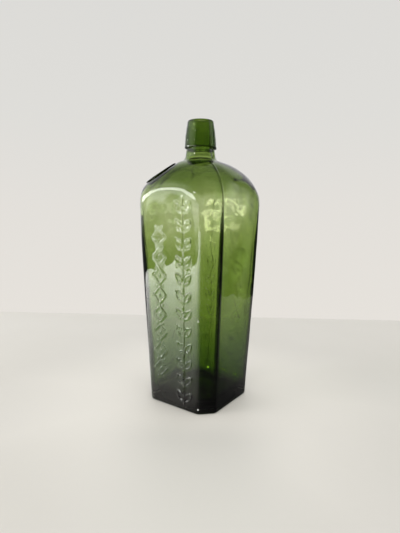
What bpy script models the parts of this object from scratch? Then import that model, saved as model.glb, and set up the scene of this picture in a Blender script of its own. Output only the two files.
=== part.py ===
"""A square case gin bottle in green glass, modelled as its three pieces of glass.

bottle_body    the blown body: a tapered square with flat corners, arched panels, a domed shoulder,
               a neck and a kicked-up base
lip_collar     the tapered ring of glass laid round the end of the neck
shoulder_seal  the round seal of glass pressed on the shoulder over one corner

Metres, +Z up, origin at the middle of the base. The panels face -Y, +X, +Y and -X.
"""

import math

import bmesh
import bpy
from mathutils import Matrix, Vector

# Body, outside. The shoulder's width and corner cut are those where the dome starts
BASE_WIDTH = 0.0822
SHOULDER_WIDTH = 0.1007
BASE_CORNER_CUT = 0.0124
SHOULDER_CORNER_CUT = 0.0151
HEEL_RADIUS = 0.0018
EDGE_MELT = 0.0015

# Shoulder dome, half an ellipse turned about the axis, a little square in plan
DOME_START = 0.1965
DOME_RADIUS = 0.0612
DOME_HEIGHT = 0.0467
DOME_SQUARENESS_SHARE = 0.094

# Neck: its fillet rises from the dome's top, then a clear length stands below the collar
NECK_FOOT_RISE = 0.0043
NECK_CLEAR_LENGTH = 0.0063
COLLAR_LENGTH = 0.0262
NECK_ROOT_SPREAD = 0.0062
NECK_TIP_BEVEL = 0.0005

# Bore, and the glass round it at the mouth, under the collar's foot and at the neck's foot
BORE_RADIUS = 0.0076
BORE_FLARE = 0.0012
BORE_ROOT_SPREAD = 0.0060
NECK_TIP_WALL = 0.0034
NECK_WAIST_WALL = 0.0048
NECK_FOOT_WALL = 0.0058

# Body, inside
WALL = 0.0040
INNER_MELT = 0.0090
INNER_HEEL_RADIUS = 0.0110
FLOOR_THICKNESS = 0.0075

# Kick-up under the base
KICK_RADIUS = 0.0290
KICK_DEPTH = 0.0060

# Lip collar
COLLAR_TIP_WALL = 0.0014
COLLAR_FOOT_WALL = 0.0020
COLLAR_SWELL = 0.0007
COLLAR_FOOT_ROUND = 0.0008
COLLAR_TIP_ROUND = 0.0009

# Shoulder seal
SEAL_RADIUS = 0.0172
SEAL_REACH = 0.0407
SEAL_AZIMUTH = math.radians(225.0)
SEAL_PRESS = 0.0007
SEAL_THICKNESS = 0.0024
SEAL_RIM_WIDTH = 0.0026
SEAL_RIM_RAISE = 0.0005
SEAL_EDGE_ROUND = 0.0008
SEAL_BLANK_DEPTH = 0.0100
SEAT_MARGIN = 0.0015
SEAT_FADE = 0.0060

# Gap where two pieces of glass meet
SEAM_GAP = 0.0003

# How finely the forms are divided
PANEL_SHARES = (-1.0, -0.955, -0.88, -0.74, -0.5, -0.2, 0.2, 0.5, 0.74, 0.88, 0.955)
CORNER_SHARES = (0.0, 0.08, 0.27, 0.5, 0.73, 0.92)
WALL_ROW_SHARES = (0.35, 0.68, 0.82, 0.88, 0.93, 0.97, 1.0)
DOME_ROW_SHARES = (0.05, 0.11, 0.18, 0.26, 0.35, 0.44, 0.53, 0.62, 0.71, 0.8, 0.9, 1.0)
INNER_WALL_ROW_SHARES = (0.0, 0.4, 0.8, 0.93, 1.0)
INNER_DOME_ROW_SHARES = (0.12, 0.25, 0.38, 0.52, 0.66, 0.82, 1.0)
KICK_RING_SHARES = (0.3, 0.6, 0.85, 1.0)
FLOOR_RING_SHARES = (0.9, 0.6, 0.3)
HEEL_STEPS = 3
INNER_HEEL_STEPS = 4
ROOT_STEPS = 4
ROUND_STEPS = 3
COLLAR_SIDE_STEPS = 5
COLLAR_SEGMENTS = 48
SEAL_SEGMENTS = 48
MEETING_SEARCH_STEPS = 40

# Heights and radii that follow
NECK_FOOT_HEIGHT = DOME_START + DOME_HEIGHT + NECK_FOOT_RISE
COLLAR_FOOT_HEIGHT = NECK_FOOT_HEIGHT + NECK_CLEAR_LENGTH
HEIGHT = COLLAR_FOOT_HEIGHT + COLLAR_LENGTH
BORE_FOOT_RADIUS = BORE_RADIUS + BORE_FLARE
NECK_FOOT_RADIUS = BORE_FOOT_RADIUS + NECK_FOOT_WALL
NECK_WAIST_RADIUS = BORE_FOOT_RADIUS + NECK_WAIST_WALL
NECK_TIP_RADIUS = BORE_RADIUS + NECK_TIP_WALL

QUARTER = math.pi / 2
EIGHTH = math.pi / 4
PANEL_AZIMUTHS = [-QUARTER, 0.0, QUARTER, math.pi]


def mix(start, end, share):
    return start + (end - start) * share


def melt(first, second, depth):
    """The smaller of two values, with the crossing rounded off over a depth."""
    overlap = max(depth - abs(first - second), 0.0)
    return min(first, second) - overlap * overlap / (4.0 * depth)


def ease(share):
    share = min(max(share, 0.0), 1.0)
    return share * share * (3.0 - 2.0 * share)


# The tapered square

def panel_reach(z):
    """How far a panel stands from the axis. The taper runs on above the dome's start."""
    return mix(BASE_WIDTH, SHOULDER_WIDTH, z / DOME_START) / 2.0


def corner_reach(z):
    """How far a flat corner stands from the axis."""
    cut = mix(BASE_CORNER_CUT, SHOULDER_CORNER_CUT, z / DOME_START)
    return (2.0 * panel_reach(z) - cut) / math.sqrt(2.0)


def flat_reach(aside, z, offset, depth):
    """How far a ray goes before it meets a panel or a flat corner. The ray is turned aside from the
    panel's middle."""
    panel = (panel_reach(z) + offset) / math.cos(aside)
    corner = (corner_reach(z) + offset) / math.cos(EIGHTH - aside)
    return melt(panel, corner, depth)


# The shoulder dome

def dome_point(turn, offset=0.0):
    """Radius and height of the dome's profile: turn 0 where it starts, a quarter turn on the axis.
    Below its start the profile goes straight down."""
    height = DOME_HEIGHT + offset
    if turn < 0.0:
        return DOME_RADIUS + offset, DOME_START + height * turn
    return (DOME_RADIUS + offset) * math.cos(turn), DOME_START + height * math.sin(turn)


def turn_at_height(z, offset=0.0):
    climb = (z - DOME_START) / (DOME_HEIGHT + offset)
    return climb if climb < 0.0 else math.asin(min(climb, 1.0))


def turn_at_radius(radius, offset=0.0):
    return math.acos(min(radius / (DOME_RADIUS + offset), 1.0))


def dome_reach(aside, radius):
    """The dome stands out furthest over the corners, and grows round towards the neck."""
    fade = max((radius - NECK_FOOT_RADIUS) / (DOME_RADIUS - NECK_FOOT_RADIUS), 0.0)
    return radius * (1.0 - DOME_SQUARENESS_SHARE * fade * math.cos(2.0 * aside) ** 2)


# The seat that the seal was pressed into

def seal_frame():
    """Middle of the seal's face, and its outward normal, which is the dome's own there."""
    turn = turn_at_radius(SEAL_REACH)
    radius, z = dome_point(turn)
    tilt = math.atan2(DOME_HEIGHT * math.cos(turn), DOME_RADIUS * math.sin(turn))
    outward = Vector((math.cos(SEAL_AZIMUTH), math.sin(SEAL_AZIMUTH), 0.0))
    normal = outward * math.sin(tilt) + Vector((0.0, 0.0, math.cos(tilt)))
    return outward * radius + Vector((0.0, 0.0, z)) - normal * SEAL_PRESS, normal


def press_seat(point, offset):
    """Flattens what stands above the seal's seat, and fades out round it."""
    middle, normal = seal_frame()
    away = point - middle
    above = away.dot(normal) + SEAL_THICKNESS - offset
    aside = (away - normal * away.dot(normal)).length
    fade = 1.0 - ease((aside - SEAL_RADIUS - SEAT_MARGIN) / SEAT_FADE)
    return point + normal * ((melt(above, 0.0, EDGE_MELT) - above) * fade)


# Rings of the body

def turn_aside(angle):
    """How far a direction is turned from the middle of the nearest panel."""
    return min(abs(math.remainder(angle - azimuth, 4.0 * QUARTER)) for azimuth in PANEL_AZIMUTHS)


def surface_point(angle, z, radius, offset, inset, depth):
    """The point where a ray from the axis meets the surface, given the dome's radius at that height."""
    aside = turn_aside(angle)
    reach = melt(flat_reach(aside, z, offset, depth), dome_reach(aside, radius), depth) - inset
    return press_seat(Vector((reach * math.cos(angle), reach * math.sin(angle), z)), offset)


def meeting_turn(aside, offset, depth):
    """The dome's turn where it meets the flat, or zero if it has met it lower. Over a panel, these
    places make the arched top."""
    low = 0.0
    high = QUARTER
    for _ in range(MEETING_SEARCH_STEPS):
        middle = (low + high) / 2.0
        radius, z = dome_point(middle, offset)
        if dome_reach(aside, radius) > flat_reach(aside, z, offset, depth):
            low = middle
        else:
            high = middle
    return low


def column_angles():
    """Directions of a ring's points: close together beside the edges between panels and corners."""
    half_panel = math.atan((panel_reach(0.0) - BASE_CORNER_CUT) / panel_reach(0.0))
    angles = []
    for azimuth in PANEL_AZIMUTHS:
        angles += [azimuth + half_panel * share for share in PANEL_SHARES]
        angles += [azimuth + mix(half_panel, QUARTER - half_panel, share) for share in CORNER_SHARES]
    return angles


ANGLES = column_angles()


def round_ring(z, radius):
    return [Vector((radius * math.cos(angle), radius * math.sin(angle), z)) for angle in ANGLES]


def level_ring(z, radius, offset, inset=0.0, depth=EDGE_MELT):
    return [surface_point(angle, z, radius, offset, inset, depth) for angle in ANGLES]


def wall_ring(low_z, share, offset, depth):
    """A ring between a level near the base and the line where the dome meets the flats."""
    ring = []
    for angle in ANGLES:
        turn = meeting_turn(turn_aside(angle), offset, depth)
        z = mix(low_z, dome_point(turn, offset)[1], share)
        radius = dome_point(turn_at_height(z, offset), offset)[0]
        ring.append(surface_point(angle, z, radius, offset, 0.0, depth))
    return ring


def dome_ring(end_radius, share, offset, depth):
    """A ring between the line where the dome meets the flats and the start of the neck's fillet."""
    ring = []
    for angle in ANGLES:
        turn = meeting_turn(turn_aside(angle), offset, depth)
        radius, z = dome_point(mix(turn, turn_at_radius(end_radius, offset), share), offset)
        ring.append(surface_point(angle, z, radius, offset, 0.0, depth))
    return ring


def curve_points(start, bend, end, steps):
    """A quadratic curve of radius and height, without its first point."""
    points = []
    for step in range(1, steps + 1):
        share = step / steps
        points.append(
            tuple(mix(mix(a, b, share), mix(b, c, share), share) for a, b, c in zip(start, bend, end))
        )
    return points


def root_curve(foot_radius, spread, offset):
    """Fillet from the dome up to the neck's foot, and the dome's radius where it starts."""
    start = dome_point(turn_at_radius(foot_radius + spread, offset), offset)
    bend = dome_point(turn_at_radius(foot_radius, offset), offset)
    return start[0], curve_points(start, bend, (foot_radius, NECK_FOOT_HEIGHT), ROOT_STEPS)


def outer_rings(offset=0.0):
    """Rings of the body's outside from the heel to the neck's end."""
    rings = []
    for step in range(HEEL_STEPS + 1):
        turn = QUARTER * step / HEEL_STEPS
        z = HEEL_RADIUS * (1.0 - math.cos(turn))
        inset = HEEL_RADIUS * (1.0 - math.sin(turn))
        rings.append(level_ring(z, DOME_RADIUS + offset, offset, inset))
    rings += [wall_ring(HEEL_RADIUS, share, offset, EDGE_MELT) for share in WALL_ROW_SHARES]
    dome_end, root = root_curve(NECK_FOOT_RADIUS + offset, NECK_ROOT_SPREAD, offset)
    rings += [dome_ring(dome_end, share, offset, EDGE_MELT) for share in DOME_ROW_SHARES]
    rings += [level_ring(z, radius, offset) for radius, z in root]
    rings.append(round_ring(COLLAR_FOOT_HEIGHT, NECK_WAIST_RADIUS + offset))
    rings.append(round_ring(HEIGHT - NECK_TIP_BEVEL, NECK_TIP_RADIUS + offset))
    rings.append(round_ring(HEIGHT, NECK_TIP_RADIUS - NECK_TIP_BEVEL + offset))
    return rings


def kick_height(radius):
    """Height of the kick-up under the base."""
    return KICK_DEPTH * (1.0 - ease(radius / KICK_RADIUS))


def floor_height(radius):
    """The floor inside rides over the kick-up."""
    return FLOOR_THICKNESS + kick_height(radius)


def inner_rings():
    """Rings of the body's inside from the mouth down to the floor."""
    rings = [
        round_ring(HEIGHT, BORE_RADIUS + NECK_TIP_BEVEL),
        round_ring(HEIGHT - NECK_TIP_BEVEL, BORE_RADIUS),
    ]
    dome_end, root = root_curve(BORE_FOOT_RADIUS, BORE_ROOT_SPREAD, -WALL)
    rings += [level_ring(z, radius, -WALL) for radius, z in reversed(root)]
    for share in reversed(INNER_DOME_ROW_SHARES):
        rings.append(dome_ring(dome_end, share, -WALL, INNER_MELT))
    heel_top = FLOOR_THICKNESS + INNER_HEEL_RADIUS
    for share in reversed(INNER_WALL_ROW_SHARES):
        rings.append(wall_ring(heel_top, share, -WALL, INNER_MELT))
    for step in range(1, INNER_HEEL_STEPS + 1):
        turn = QUARTER * step / INNER_HEEL_STEPS
        z = heel_top - INNER_HEEL_RADIUS * math.sin(turn)
        inset = INNER_HEEL_RADIUS * (1.0 - math.cos(turn))
        rings.append(level_ring(z, DOME_RADIUS - WALL, -WALL, inset, INNER_MELT))
    floor_radius = panel_reach(0.0) - WALL - INNER_HEEL_RADIUS
    for share in FLOOR_RING_SHARES:
        radius = floor_radius * share
        rings.append(round_ring(floor_height(radius), radius))
    return rings


def kick_rings():
    """Rings of the kick-up, from its middle to its edge on the resting face."""
    return [round_ring(kick_height(KICK_RADIUS * share), KICK_RADIUS * share) for share in KICK_RING_SHARES]


# Meshes

def skin(rings, first_middle, last_middle):
    """A closed mesh through a stack of rings, ended by a fan at each end."""
    mesh = bmesh.new()
    rows = [[mesh.verts.new(point) for point in ring] for ring in rings]
    count = len(rows[0])
    for lower, upper in zip(rows, rows[1:]):
        for here in range(count):
            after = (here + 1) % count
            mesh.faces.new((lower[here], lower[after], upper[after], upper[here]))
    for row, middle in ((rows[0], first_middle), (rows[-1], last_middle)):
        tip = mesh.verts.new(middle)
        for here in range(count):
            mesh.faces.new((row[here], row[(here + 1) % count], tip))
    bmesh.ops.recalc_face_normals(mesh, faces=mesh.faces)
    return mesh


def revolve(profile, segments):
    """Spins an outline of radius and height into a closed solid. An outline that starts and ends
    on the axis closes there, and any other is a ring."""
    mesh = bmesh.new()
    on_axis = profile[0][0] == 0.0 and profile[-1][0] == 0.0
    points = [mesh.verts.new((radius, 0.0, z)) for radius, z in profile]
    pairs = list(zip(points, points[1:]))
    if not on_axis:
        pairs.append((points[-1], points[0]))
    edges = [mesh.edges.new(pair) for pair in pairs]
    bmesh.ops.spin(
        mesh,
        geom=points + edges,
        cent=(0.0, 0.0, 0.0),
        axis=(0.0, 0.0, 1.0),
        angle=2.0 * math.pi,
        steps=segments,
        use_merge=True,
    )
    if on_axis:
        tips = [vert for vert in mesh.verts if math.hypot(vert.co.x, vert.co.y) == 0.0]
        bmesh.ops.remove_doubles(mesh, verts=tips, dist=SEAM_GAP)
    bmesh.ops.recalc_face_normals(mesh, faces=mesh.faces)
    return mesh


def add_object(name, mesh, material=None):
    data = bpy.data.meshes.new(name)
    mesh.to_mesh(data)
    mesh.free()
    data.shade_smooth()
    data.set_sharp_from_angle(angle=math.radians(30.0))
    thing = bpy.data.objects.new(name, data)
    bpy.context.scene.collection.objects.link(thing)
    if material is not None:
        data.materials.append(material)
    return thing


def glass(name, colour, roughness):
    material = bpy.data.materials.new(name)
    material.use_nodes = True
    shader = material.node_tree.nodes["Principled BSDF"]
    shader.inputs["Base Color"].default_value = (*colour, 1.0)
    shader.inputs["Roughness"].default_value = roughness
    shader.inputs["Metallic"].default_value = 0.0
    shader.inputs["Transmission Weight"].default_value = 0.9
    shader.inputs["IOR"].default_value = 1.52
    return material


# Pieces

def bottle_body():
    rings = kick_rings() + outer_rings() + inner_rings()
    kick_middle = Vector((0.0, 0.0, kick_height(0.0)))
    floor_middle = Vector((0.0, 0.0, floor_height(0.0)))
    mesh = skin(rings, kick_middle, floor_middle)
    return add_object("bottle_body", mesh, glass("body_glass", (0.20, 0.34, 0.06), 0.06))


def rounded_edge(side, start_turn, radius):
    """Points of a quarter round that touches the side at one point, as radius and height."""
    middle = (side[0] - radius, side[1])
    points = []
    for step in range(ROUND_STEPS + 1):
        turn = start_turn + QUARTER * step / ROUND_STEPS
        points.append((middle[0] + radius * math.cos(turn), middle[1] + radius * math.sin(turn)))
    return points


def lip_collar():
    grip_foot = NECK_WAIST_RADIUS + SEAM_GAP
    grip_tip = NECK_TIP_RADIUS + SEAM_GAP
    side_foot = (grip_foot + COLLAR_FOOT_WALL, COLLAR_FOOT_HEIGHT + COLLAR_FOOT_ROUND)
    side_tip = (grip_tip + COLLAR_TIP_WALL, HEIGHT - COLLAR_TIP_ROUND)
    swell = ((side_foot[0] + side_tip[0]) / 2.0 + COLLAR_SWELL, (side_foot[1] + side_tip[1]) / 2.0)
    profile = [(grip_foot, COLLAR_FOOT_HEIGHT)]
    profile += rounded_edge(side_foot, -QUARTER, COLLAR_FOOT_ROUND)
    profile += curve_points(side_foot, swell, side_tip, COLLAR_SIDE_STEPS)
    profile += rounded_edge(side_tip, 0.0, COLLAR_TIP_ROUND)[1:]
    profile += [(grip_tip, HEIGHT)]
    mesh = revolve(profile, COLLAR_SEGMENTS)
    return add_object("lip_collar", mesh, glass("lip_glass", (0.13, 0.24, 0.03), 0.08))


def grown_body():
    """The body's outside grown by the seam gap, to cut the seal's underside to the shoulder."""
    rings = outer_rings(SEAM_GAP)
    mesh = skin(rings, Vector((0.0, 0.0, 0.0)), Vector((0.0, 0.0, HEIGHT)))
    cutter = add_object("seal_seat_cutter", mesh)
    cutter.hide_render = True
    cutter.display_type = "WIRE"
    return cutter


def shoulder_seal():
    field_radius = SEAL_RADIUS - SEAL_RIM_WIDTH
    profile = [(0.0, -SEAL_BLANK_DEPTH), (SEAL_RADIUS, -SEAL_BLANK_DEPTH)]
    profile += rounded_edge((SEAL_RADIUS, -SEAL_EDGE_ROUND), 0.0, SEAL_EDGE_ROUND)
    profile += [(field_radius + SEAL_RIM_RAISE, 0.0), (field_radius, -SEAL_RIM_RAISE)]
    profile += [(0.0, -SEAL_RIM_RAISE)]
    mesh = revolve(profile, SEAL_SEGMENTS)
    seal = add_object("shoulder_seal", mesh, glass("seal_glass", (0.13, 0.24, 0.03), 0.08))
    middle, normal = seal_frame()
    turn = Vector((0.0, 0.0, 1.0)).rotation_difference(normal).to_matrix().to_4x4()
    seal.matrix_world = Matrix.Translation(middle) @ turn
    cut = seal.modifiers.new("seat", "BOOLEAN")
    cut.operation = "DIFFERENCE"
    cut.solver = "EXACT"
    cut.object = grown_body()
    return seal


def clear_scene():
    for thing in list(bpy.data.objects):
        bpy.data.objects.remove(thing)


clear_scene()
bottle_body()
lip_collar()
shoulder_seal()
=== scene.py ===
"""Looks of the square case gin bottle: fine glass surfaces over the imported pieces, on a pale table.

The glass follows the same tapered square and dome as the solids, divided finely enough to carry what
the solids leave out: raised ornament on two panels, mould seams, hollow panels, uneven walls, seeds.
Lengths are in metres. A reach is a distance from the bottle's axis, and a share goes from 0 to 1.
"""

import math

import bpy
import numpy as np
from mathutils import Matrix, Vector


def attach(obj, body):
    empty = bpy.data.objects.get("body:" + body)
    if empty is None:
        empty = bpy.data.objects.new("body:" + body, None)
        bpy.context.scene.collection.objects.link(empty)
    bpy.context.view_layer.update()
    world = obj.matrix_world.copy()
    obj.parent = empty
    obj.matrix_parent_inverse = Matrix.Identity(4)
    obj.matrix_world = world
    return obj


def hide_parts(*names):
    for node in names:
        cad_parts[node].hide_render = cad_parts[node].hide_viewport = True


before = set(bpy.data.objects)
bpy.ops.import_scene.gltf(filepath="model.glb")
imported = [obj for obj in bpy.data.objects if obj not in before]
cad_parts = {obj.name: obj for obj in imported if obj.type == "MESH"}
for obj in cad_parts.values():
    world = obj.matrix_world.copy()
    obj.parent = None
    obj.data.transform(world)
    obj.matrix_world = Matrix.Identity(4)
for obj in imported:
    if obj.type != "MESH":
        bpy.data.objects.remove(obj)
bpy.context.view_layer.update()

QUARTER = math.pi / 2
EIGHTH = math.pi / 4
PANEL_AZIMUTHS = [-QUARTER, 0.0, QUARTER, math.pi]
ORNAMENTED_AZIMUTHS = [-QUARTER, QUARTER]

# Body, outside, as in the solids
BASE_WIDTH = 0.0822
SHOULDER_WIDTH = 0.1007
BASE_CORNER_CUT = 0.0124
SHOULDER_CORNER_CUT = 0.0151
HEEL_RADIUS = 0.0018
DOME_START = 0.1965
DOME_RADIUS = 0.0612
DOME_HEIGHT = 0.0467
DOME_SQUARENESS_SHARE = 0.094
KICK_RADIUS = 0.0290
KICK_DEPTH = 0.0060

# Softness of the body's edges, outside and inside. Toward the corners the arch line is rounded off more.
EDGE_MELT = 0.0025
CORNER_MELT = 0.0018
CORNER_MELT_START = math.radians(14.0)

# Neck, bore and lip
NECK_FOOT_RISE = 0.0043
NECK_CLEAR_LENGTH = 0.0063
COLLAR_LENGTH = 0.0262
NECK_ROOT_SPREAD = 0.0062
BORE_RADIUS = 0.0076
BORE_FLARE = 0.0012
BORE_ROOT_SPREAD = 0.0085
BORE_ROOT_EASE = 0.0018
BORE_EASE_LENGTH = 0.010
NECK_TIP_WALL = 0.0034
NECK_WAIST_WALL = 0.0048
NECK_FOOT_WALL = 0.0058
COLLAR_TIP_WALL = 0.0014
COLLAR_FOOT_WALL = 0.0020
COLLAR_SWELL = 0.0007
COLLAR_FOOT_ROUND = 0.0008
COLLAR_TIP_ROUND = 0.0012
MOUTH_ROUND_SHARE = 0.8
SEAM_GAP = 0.0003

# Body, inside: the wall is thinnest where the panels and the shoulder were blown out furthest
WALL = 0.0040
INNER_HEEL_RADIUS = 0.0110
FLOOR_THICKNESS = 0.0075
FLOOR_REACH_SHARE = 0.92
SHOULDER_THINNING = 0.0021
THINNING_HEIGHTS = (0.142, 0.200, 0.203, 0.224)
FOOT_THICKENING = 0.0036
FOOT_THICKENING_HEIGHT = 0.070

# Shoulder seal: a pad whose face sags toward its rim, with beads round a field that is sunk a little
SEAL_RADIUS = 0.0172
SEAL_REACH = 0.0407
SEAL_AZIMUTH = math.radians(225.0)
SEAL_PRESS = 0.0007
SEAL_THICKNESS = 0.0024
SEAL_RIM_WIDTH = 0.0026
SEAL_THINNING = 0.0005
SEAL_SAG = 0.0011
SEAL_EDGE_ROUND = 0.0006
SEAL_UNDERCUT_SHARE = 0.4
SEAL_FIELD_DEPTH = 0.0004
SEAL_FIELD_INSET = 0.0012
SEAL_FIELD_FADE = 0.0016
SEAL_BEADS = 40
SEAL_BEAD_RAISE = 0.00022
SEAL_BEAD_HALF_WIDTH = 0.0009
SEAL_BEAD_INSET = 0.0003
SEAT_MARGIN = 0.0015
SEAT_FADE = 0.0060

# Heights and radii that follow
NECK_FOOT_HEIGHT = DOME_START + DOME_HEIGHT + NECK_FOOT_RISE
COLLAR_FOOT_HEIGHT = NECK_FOOT_HEIGHT + NECK_CLEAR_LENGTH
HEIGHT = COLLAR_FOOT_HEIGHT + COLLAR_LENGTH
BORE_FOOT_RADIUS = BORE_RADIUS + BORE_FLARE
NECK_FOOT_RADIUS = BORE_FOOT_RADIUS + NECK_FOOT_WALL
NECK_WAIST_RADIUS = BORE_FOOT_RADIUS + NECK_WAIST_WALL
NECK_TIP_RADIUS = BORE_RADIUS + NECK_TIP_WALL

# Depth that a fused piece is sunk into the body, so that the two read as one glass
FUSE_DEPTH = 0.0003
# Depth of the body's own neck end below the finished lip
LIP_CAP = 0.0014

# Unevenness of the glass. Waves are given as their height, seed, shortest length and longest length, and
# heights as where a change starts, is full, starts to fade and ends.
WAVE_COUNT = 28
OUTER_WAVES = [(0.00004, 3, 0.010, 0.024), (0.00010, 4, 0.05, 0.10)]
OUTER_WAVE_RISE = 0.012
INNER_WAVES = [(0.00016, 5, 0.016, 0.040), (0.00030, 6, 0.06, 0.12)]
INNER_CRINKLE = (0.00009, 7, 0.006, 0.012)
CRINKLE_HEIGHTS = (0.165, 0.185, 0.215, 0.225)
PANEL_HOLLOW = 0.00045
HOLLOW_HEIGHTS = (0.0, 0.03, 0.17, 0.21)
COLLAR_WAVES = (0.00010, 21, 0.012, 0.03)
COLLAR_RIPPLES = (0.00005, 22, 0.01, 0.02)
COLLAR_RIPPLE_STRETCH = (1, 1, 4)
COLLAR_FOOT_SAG = 0.00025
COLLAR_FOOT_SAG_HEIGHT = 0.004
COLLAR_FOOT_WAVES = (1.0, 23, 0.02, 0.04)
SEAL_WAVES = (0.00002, 31, 0.010, 0.024)

# Mould seams on two opposite edges, with their width at one level
SEAM_AZIMUTHS = np.radians((-34.9, 145.1))
SEAM_HALF_WIDTH = 0.0011
SEAM_WIDTH_LEVEL = 0.1
SEAM_RAISE = 0.00045

# Raised ornament on the front and back panels: a leafy stem and a chain of lozenges. Each pattern is given as
# the heights of its foot and tip, how far across the panel those are, and how many times it repeats.
RELIEF = 0.0009
RELIEF_SLOPE = 0.0006
ON_PANEL_SHARE = 0.9
STEM = (0.006, 0.204, 0.0130, 0.0165, 12)
STEM_HALF_WIDTH = 0.0007
LEAF_LENGTH = 0.0118
LEAF_HALF_WIDTH = 0.0027
LEAF_LINE_HALF_WIDTH = 0.0006
LEAF_AWAY = 0.0047
LEAF_LEAN = math.radians(38.0)
CHAIN = (0.028, 0.177, -0.0150, -0.0125, 8)
LINK_HALF_WIDTH = 0.0074
LINK_HALF_HEIGHT_SHARE = 0.43
LINK_LINE_HALF_WIDTH = 0.0007
BEAD_RADIUS = 0.0012
SMALL_BEAD_RADIUS = 0.0009
SMALL_BEAD_AWAY = 0.0036

# Specks raised in the surface, painted white as highlights: direction from the axis, height and whiteness
SPECKS = [(math.radians(-55.2), 0.0925, 0.40), (math.radians(-54.8), 0.0052, 1.0)]
SPECK_RADIUS = 0.0009
SPECK_RAISE = 0.0011
SPECK_HIGHLIGHT_COLOUR = (0.92, 0.93, 0.90, 1.0)
SPECK_EDGE_SHARES = (1.3, 0.8)

# Seeds, the small bubbles in old glass. Their depth is a share of the wall, and their size of the radius.
SEED_COUNT = 34
SEED_RANDOM = 11
SEED_RADIUS = 0.00030
SEED_SIDES = 10
SEED_RINGS = 7
SEED_LOWEST_ROW = 20
SEED_DEPTHS = (0.35, 0.65)
SEED_SIZES = (0.5, 1.6)
SEED_STRETCHES = (1.0, 2.6)

# Edges that turn by more than this stay sharp
SHARP_ANGLE = math.radians(55.0)

# How finely the surfaces are divided
WALL_ROWS = 240
DOME_ROWS = 34
HEEL_ROWS = 6
ROOT_ROWS = 8
NECK_ROWS = 8
KICK_ROWS = 8
INNER_WALL_ROWS = 90
INNER_DOME_ROWS = 22
INNER_HEEL_ROWS = 9
BORE_ROWS = 16
MEETING_SEARCH_STEPS = 40
ROUND_SEGMENTS = 128
ROUND_STEPS = 7
ROUND_TURNS = np.arange(ROUND_SEGMENTS) * math.tau / ROUND_SEGMENTS
COLLAR_FOOT_STEPS = 6
COLLAR_SIDE_STEPS = 26
SEAL_FACE_STEPS = 54

# Columns of the body: how far apart they are over a panel, where it's plain, at its edges and under ornament,
# with places from -1 to 1, and their shares of the way over a corner
PANEL_SAMPLES = 400
PLAIN_SPACING = 0.095
EDGE_SPACING = 0.016
EDGE_START = 0.94
CARVED_SPACING = 0.021
CARVED_MIDDLES = (-0.32, 0.325)
CARVED_HALF_WIDTH = 0.25
CORNER_SHARES = np.array((0.0, 0.045, 0.09, 0.15, 0.3, 0.5, 0.7, 0.85, 0.91, 0.955))

# Colour of the glass by depth, and how much heavier the glass gets toward the base
GLASS_IOR = 1.52
GLASS_COLOUR = (0.528, 0.65, 0.14)
GLASS_DENSITY = 300.0
GLASS_SHADOW = (0.99, 0.995, 0.985, 1.0)
HEAVY_GLASS = 0.015
HEAVY_GLASS_FADE = 0.040
HEAVY_GLASS_REACH = 0.160
HEAVY_GLASS_STOPS = 9
EVENLY_HEAVY = 0.033

# Painted shade as a darker belt round the dome, a heavier colour up the neck and on the pieces laid on, rings
# of painted shade under the neck, and a band of painted shade along the lip's foot
DOME_SHADE_BELT = (0.2185, 0.236)
DOME_SHADE_BELT_SOFTNESS = 0.004
DOME_SHADE_BELT_TINT = (0.76, 0.79, 0.68, 1.0)
NECK_TINT = (0.86, 0.88, 0.80, 1.0)
NECK_TINT_RISE = (0.2475, 0.2515)
NECK_SHADE_RINGS = [0.2395, 0.2460, 0.2508]
NECK_SHADE_RING_COLOUR = (0.48, 0.54, 0.38, 1.0)
NECK_SHADE_RING_HALF_WIDTH = 0.0005
NECK_SHADE_RING_SOFTNESS = 0.0004
LIP_TINT = (0.80, 0.84, 0.72)
LIP_FOOT_SHADE_COLOUR = (0.10, 0.12, 0.05, 1.0)
LIP_FOOT_SHADE_DEPTH = 0.0020
LIP_SHEEN = 0.35
SEAL_TINT = (0.13, 0.16, 0.07)
SEAL_SHEEN = 0.10

# Painted shade: a dark line along the front mould seam
SEAM_SHADE_COLOUR = (0.02, 0.03, 0.008, 1.0)
SEAM_SHADE_HALF_WIDTH = 0.0022
SEAM_SHADE_EDGE = (0.45, 1.15)
SEAM_THIN_SHARE = 0.25
SEAM_THINNING_HEIGHTS = (0.170, DOME_START + 0.01)
SEAM_TOP_PALENESS = 0.35
SEAM_SHADE_END = (NECK_SHADE_RINGS[0] + 0.003, NECK_SHADE_RINGS[0])

# Streaks in the glass, and scuffs and pebbles on it. Scuffs are given as scale and detail, and a surface as
# the scale of its streaks, the scale of its pebbles and their depth.
STREAK_DETAIL = 4.0
STREAK_STRETCH = (1.0, 1.0, 0.35)
STREAKS = [(0.35, (0.93, 0.97, 0.88, 1.0)), (0.62, (1.0, 1.0, 1.0, 1.0))]
SCUFFS = (320.0, 6.0)
SCUFF_RANGE = (0.60, 0.72)
SCUFF_ROUGHNESS = 0.05
BUMP_DETAIL = 3.0
BODY_SURFACE = (30.0, 420.0, 0.00002)
LIP_SURFACE = (60.0, 300.0, 0.00002)
SEAL_SURFACE = (60.0, 300.0, 0.000004)

# Camera, worked out from the bottle's outline and base corners in the photograph
IMAGE_HEIGHT_PX = 533.0
FOCAL_LENGTH_PX = 412.0
CAMERA_AZIMUTH = 0.61643
CAMERA_DISTANCE = 0.41954
CAMERA_HEIGHT = 0.193
CAMERA_PITCH = 0.13507
CAMERA_PAN = 0.00154
CAMERA_ROLL = 0.01014
CAMERA_CLIP_START = 0.01
SENSOR_SIZE_MM = 36.0

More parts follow.
